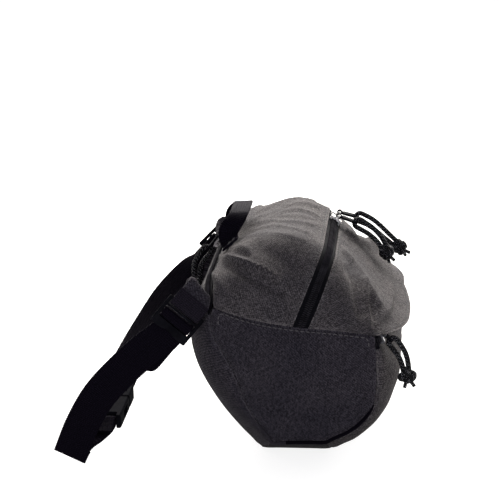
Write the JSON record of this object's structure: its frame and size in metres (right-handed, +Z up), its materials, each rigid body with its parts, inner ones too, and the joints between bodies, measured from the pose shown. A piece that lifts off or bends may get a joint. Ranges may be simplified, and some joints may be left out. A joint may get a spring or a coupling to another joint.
{
  "type": "fanny pack",
  "caption": "Stuffed canvas hip bag with zipped compartments, a webbing belt with ladder-locks and a side-release buckle, and a grab loop.",
  "frame": {"origin": "on the flat base under the middle of the bag, on the plane that the bag rests on", "axes": "+X along the bag towards the end away from the picture's camera, +Y from the front towards the wearer, +Z up"},
  "size_m": [0.237, 0.2327, 0.1543],
  "materials": {
    "charcoal_canvas": "heathered weave",
    "back_mesh": "spacer mesh",
    "lining": "plain weave",
    "foam": "soft foam",
    "zip_tape": "ribbed tape",
    "zip_coil": "satin",
    "slider_metal": "bright",
    "black_plastic": "satin",
    "black_webbing": "ribbed webbing",
    "pull_cord": "braided, flecked"
  },
  "bodies": {
    "pack": {"front_pocket_panel": "charcoal_canvas", "front_top_panel": "charcoal_canvas", "rear_top_panel": "charcoal_canvas", "bottom_panel": "charcoal_canvas", "near_end_panel": "charcoal_canvas", "far_end_panel": "charcoal_canvas", "pocket_flap": "charcoal_canvas", "near_wing": "charcoal_canvas", "far_wing": "charcoal_canvas", "back_panel": "back_mesh", "back_foam": "foam", "back_pocket_lining": "lining", "pocket_divider": "lining", "near_piping": "black_webbing", "far_piping": "black_webbing", "main_front_tape": "zip_tape", "main_rear_tape": "zip_tape", "pocket_lower_tape": "zip_tape", "pocket_upper_tape": "zip_tape", "back_upper_tape": "zip_tape", "back_lower_tape": "zip_tape", "main_front_coil": "zip_coil", "main_rear_coil": "zip_coil", "pocket_lower_coil": "zip_coil", "pocket_upper_coil": "zip_coil", "back_upper_coil": "zip_coil", "back_lower_coil": "zip_coil", "near_tab": "black_webbing", "far_tab": "black_webbing", "near_belt": "black_webbing", "far_belt": "black_webbing", "grab_loop": "black_webbing", "near_ladder_lock": "black_plastic", "far_ladder_lock": "black_plastic", "buckle_socket": "black_plastic"},
    "near_slider_body": {"near_slider": "slider_metal"},
    "far_slider_body": {"far_slider": "slider_metal"},
    "front_slider_body": {"front_slider": "slider_metal"},
    "back_slider_body": {"back_slider": "slider_metal"},
    "near_pull_body": {"near_pull": "black_plastic", "near_pull_cord": "pull_cord", "near_pull_knot": "pull_cord"},
    "far_pull_body": {"far_pull": "black_plastic", "far_pull_cord": "pull_cord", "far_pull_knot": "pull_cord"},
    "front_pull_body": {"front_pull": "black_plastic", "front_pull_cord": "pull_cord", "front_pull_knot": "pull_cord"},
    "back_pull_body": {"back_pull": "black_plastic", "back_pull_cord": "pull_cord", "back_pull_knot": "pull_cord"},
    "clip_body": {"buckle_clip": "black_plastic"},
    "arm_upper_body": {"release_arm_upper": "black_plastic"},
    "arm_lower_body": {"release_arm_lower": "black_plastic"}
  },
  "joints": [
    {"name": "near_slider_slide", "type": "slide", "parent": "pack", "child": "near_slider_body", "axis": [-1, 0, 0], "range_m": [0, 0.096]},
    {"name": "far_slider_slide", "type": "slide", "parent": "pack", "child": "far_slider_body", "axis": [1, 0, 0], "range_m": [0, 0.01]},
    {"name": "front_slider_slide", "type": "slide", "parent": "pack", "child": "front_slider_body", "axis": [1, 0, 0], "range_m": [0, 0.19]},
    {"name": "back_slider_slide", "type": "slide", "parent": "pack", "child": "back_slider_body", "axis": [-1, 0, 0], "range_m": [0, 0.11]},
    {"name": "near_pull_swing", "type": "hinge", "parent": "near_slider_body", "child": "near_pull_body", "pos_m": [0.036, -0.02522, 0.13801], "axis": [-1, 0, 0], "range_deg": [0, 100]},
    {"name": "far_pull_swing", "type": "hinge", "parent": "far_slider_body", "child": "far_pull_body", "pos_m": [0.05, -0.02522, 0.13801], "axis": [-1, 0, 0], "range_deg": [0, 100]},
    {"name": "front_pull_swing", "type": "hinge", "parent": "front_slider_body", "child": "front_pull_body", "pos_m": [-0.09784, -0.05934, 0.08781], "axis": [-1, 0, 0], "range_deg": [0, 10], "deforming": ["front_pull_cord", "front_pull_knot"]},
    {"name": "back_pull_swing", "type": "hinge", "parent": "back_slider_body", "child": "back_pull_body", "pos_m": [0.054, 0.05964, 0.12003], "axis": [1, 0, 0], "range_deg": [0, 90]},
    {"name": "clip_slide", "type": "slide", "parent": "pack", "child": "clip_body", "axis": [0.9823, -0.0739, 0.1719], "range_m": [0, 0.022], "deforming": ["far_belt"]},
    {"name": "arm_upper_squeeze", "type": "hinge", "parent": "clip_body", "child": "arm_upper_body", "pos_m": [-0.05988, 0.13397, 0.02979], "axis": [-0.1714, 0.0129, 0.9851], "range_deg": [0, 7], "stiffness_Nm_per_rad": 0.05},
    {"name": "arm_lower_squeeze", "type": "hinge", "parent": "clip_body", "child": "arm_lower_body", "pos_m": [-0.06139, 0.11392, 0.02979], "axis": [-0.1714, 0.0129, 0.9851], "range_deg": [-7, 0], "stiffness_Nm_per_rad": 0.05}
  ],
  "couplings": [
    {"joint": "arm_lower_squeeze", "follows": "arm_upper_squeeze", "ratio": -1}
  ]
}
